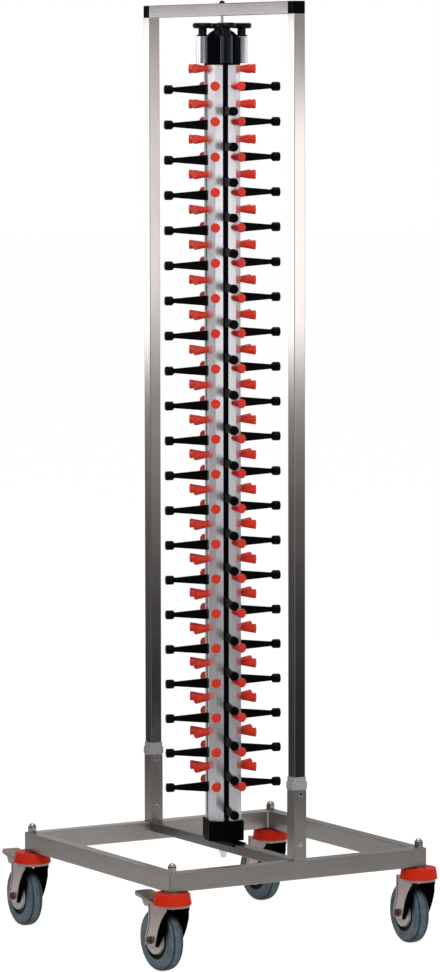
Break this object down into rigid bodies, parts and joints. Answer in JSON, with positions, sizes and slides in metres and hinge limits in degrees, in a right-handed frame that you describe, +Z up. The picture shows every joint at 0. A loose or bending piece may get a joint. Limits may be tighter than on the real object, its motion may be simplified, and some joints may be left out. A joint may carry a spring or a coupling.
{
  "type": "plate dispenser cart",
  "caption": "Wheeled plate rack: a square tube base on swivel casters, side posts with a top bar, and a turning mast with splayed pegs and height-adjustable arms.",
  "frame": {"origin": "on the floor, on the mast's turning axis, in the middle of the square base", "axes": "+Z points up along the mast; -Y is the front; X runs from left to right; the two posts stand on the front (-Y) and back (+Y) rails"},
  "size_m": [0.6536, 0.7259, 1.903],
  "materials": {
    "stainless_steel": "satin",
    "polished_steel": "polished",
    "zinc_plated_steel": "satin",
    "brake_steel": "satin",
    "red_plastic": "satin",
    "pale_grey_plastic": "matte",
    "black_plastic": "matte",
    "black_painted_steel": "satin",
    "aluminium_profile": "satin",
    "wheel_plastic": "matte",
    "blue_grey_rubber": "matte"
  },
  "bodies": {
    "frame": {"base_rail_front": "stainless_steel", "base_rail_right": "stainless_steel", "base_rail_back": "stainless_steel", "base_rail_left": "stainless_steel", "crossbar": "stainless_steel", "corner_bushes": "zinc_plated_steel", "caster_stems": "zinc_plated_steel", "dome_nuts": "polished_steel", "bumper_rings": "red_plastic", "swivel_bearings": "zinc_plated_steel", "post_sockets": "stainless_steel", "post_collars": "pale_grey_plastic", "socket_screws": "polished_steel", "post_front": "stainless_steel", "post_back": "stainless_steel", "corner_connectors": "black_plastic", "top_bar": "stainless_steel", "pivot_saddle": "black_painted_steel", "pivot_bolt": "zinc_plated_steel", "pivot_nut": "polished_steel", "top_pivot_pin": "polished_steel"},
    "mast": {"foot_block": "black_plastic", "mast_core": "aluminium_profile", "column_front_left": "aluminium_profile", "column_front_right": "aluminium_profile", "column_back_left": "aluminium_profile", "column_back_right": "aluminium_profile", "mast_head": "black_plastic", "guide_sleeves": "polished_steel", "pegs": "red_plastic"},
    "lift_front": {"arm_rail_front": "black_plastic", "arms_front": "black_plastic"},
    "lift_right": {"arm_rail_right": "black_plastic", "arms_right": "black_plastic"},
    "lift_back": {"arm_rail_back": "black_plastic", "arms_back": "black_plastic"},
    "lift_left": {"arm_rail_left": "black_plastic", "arms_left": "black_plastic"},
    "knob_front": {"lift_knob_front": "black_plastic"},
    "knob_right": {"lift_knob_right": "black_plastic"},
    "knob_back": {"lift_knob_back": "black_plastic"},
    "knob_left": {"lift_knob_left": "black_plastic"},
    "caster_front_left": {"fork_front_left": "zinc_plated_steel", "axle_front_left": "zinc_plated_steel"},
    "caster_front_right": {"fork_front_right": "zinc_plated_steel", "axle_front_right": "zinc_plated_steel"},
    "caster_back_left": {"fork_back_left": "zinc_plated_steel", "axle_back_left": "zinc_plated_steel"},
    "caster_back_right": {"fork_back_right": "zinc_plated_steel", "axle_back_right": "zinc_plated_steel"},
    "roll_front_left": {"wheel_front_left": "wheel_plastic", "tyre_front_left": "blue_grey_rubber"},
    "roll_front_right": {"wheel_front_right": "wheel_plastic", "tyre_front_right": "blue_grey_rubber"},
    "roll_back_left": {"wheel_back_left": "wheel_plastic", "tyre_back_left": "blue_grey_rubber"},
    "roll_back_right": {"wheel_back_right": "wheel_plastic", "tyre_back_right": "blue_grey_rubber"},
    "pedal_front_left": {"brake_pedal_front_left": "brake_steel"},
    "pedal_back_left": {"brake_pedal_back_left": "brake_steel"}
  },
  "joints": [
    {"name": "mast_spin", "type": "hinge", "parent": "frame", "child": "mast", "pos_m": [0, 0, 0.203], "axis": [0, 0, 1], "continuous": true},
    {"name": "lift_front_slide", "type": "slide", "parent": "mast", "child": "lift_front", "axis": [0, 0, 1], "range_m": [-0.002, 0.018]},
    {"name": "lift_right_slide", "type": "slide", "parent": "mast", "child": "lift_right", "axis": [0, 0, 1], "range_m": [-0.0165, 0.0035]},
    {"name": "lift_back_slide", "type": "slide", "parent": "mast", "child": "lift_back", "axis": [0, 0, 1], "range_m": [-0.009, 0.011]},
    {"name": "lift_left_slide", "type": "slide", "parent": "mast", "child": "lift_left", "axis": [0, 0, 1], "range_m": [-0.01, 0.01]},
    {"name": "knob_front_turn", "type": "hinge", "parent": "mast", "child": "knob_front", "pos_m": [-0.01322, -0.03775, 1.85], "axis": [0, 0, 1], "range_deg": [-1620, 180]},
    {"name": "knob_right_turn", "type": "hinge", "parent": "mast", "child": "knob_right", "pos_m": [0.03775, -0.01322, 1.85], "axis": [0, 0, 1], "range_deg": [-315, 1485]},
    {"name": "knob_back_turn", "type": "hinge", "parent": "mast", "child": "knob_back", "pos_m": [0.01322, 0.03775, 1.85], "axis": [0, 0, 1], "range_deg": [-990, 810]},
    {"name": "knob_left_turn", "type": "hinge", "parent": "mast", "child": "knob_left", "pos_m": [-0.03775, 0.01322, 1.85], "axis": [0, 0, 1], "range_deg": [-900, 900]},
    {"name": "swivel_front_left", "type": "hinge", "parent": "frame", "child": "caster_front_left", "pos_m": [-0.2875, -0.2875, 0.15], "axis": [0, 0, 1], "continuous": true},
    {"name": "swivel_front_right", "type": "hinge", "parent": "frame", "child": "caster_front_right", "pos_m": [0.2875, -0.2875, 0.15], "axis": [0, 0, 1], "continuous": true},
    {"name": "swivel_back_left", "type": "hinge", "parent": "frame", "child": "caster_back_left", "pos_m": [-0.2875, 0.2875, 0.15], "axis": [0, 0, 1], "continuous": true},
    {"name": "swivel_back_right", "type": "hinge", "parent": "frame", "child": "caster_back_right", "pos_m": [0.2875, 0.2875, 0.15], "axis": [0, 0, 1], "continuous": true},
    {"name": "roll_front_left", "type": "hinge", "parent": "caster_front_left", "child": "roll_front_left", "pos_m": [-0.28886, -0.24852, 0.0625], "axis": [0.9994, 0.0349, 0], "continuous": true},
    {"name": "roll_front_right", "type": "hinge", "parent": "caster_front_right", "child": "roll_front_right", "pos_m": [0.2909, -0.24865, 0.0625], "axis": [0.9962, -0.0872, 0], "continuous": true},
    {"name": "roll_back_left", "type": "hinge", "parent": "caster_back_left", "child": "roll_back_left", "pos_m": [-0.28512, 0.32643, 0.0625], "axis": [0.9981, -0.061, 0], "continuous": true},
    {"name": "roll_back_right", "type": "hinge", "parent": "caster_back_right", "child": "roll_back_right", "pos_m": [0.28614, 0.32648, 0.0625], "axis": [0.9994, 0.0349, 0], "continuous": true},
    {"name": "brake_front_left", "type": "hinge", "parent": "caster_front_left", "child": "pedal_front_left", "pos_m": [-0.28886, -0.24852, 0.131], "axis": [0.9994, 0.0349, 0], "range_deg": [-14, 0]},
    {"name": "brake_back_left", "type": "hinge", "parent": "caster_back_left", "child": "pedal_back_left", "pos_m": [-0.28512, 0.32643, 0.131], "axis": [0.9981, -0.061, 0], "range_deg": [-14, 0]}
  ],
  "couplings": [
    {"joint": "knob_front_turn", "follows": "lift_front_slide", "rad_per_m": -1570.8},
    {"joint": "knob_right_turn", "follows": "lift_right_slide", "rad_per_m": -1570.8},
    {"joint": "knob_back_turn", "follows": "lift_back_slide", "rad_per_m": -1570.8},
    {"joint": "knob_left_turn", "follows": "lift_left_slide", "rad_per_m": -1570.8}
  ]
}
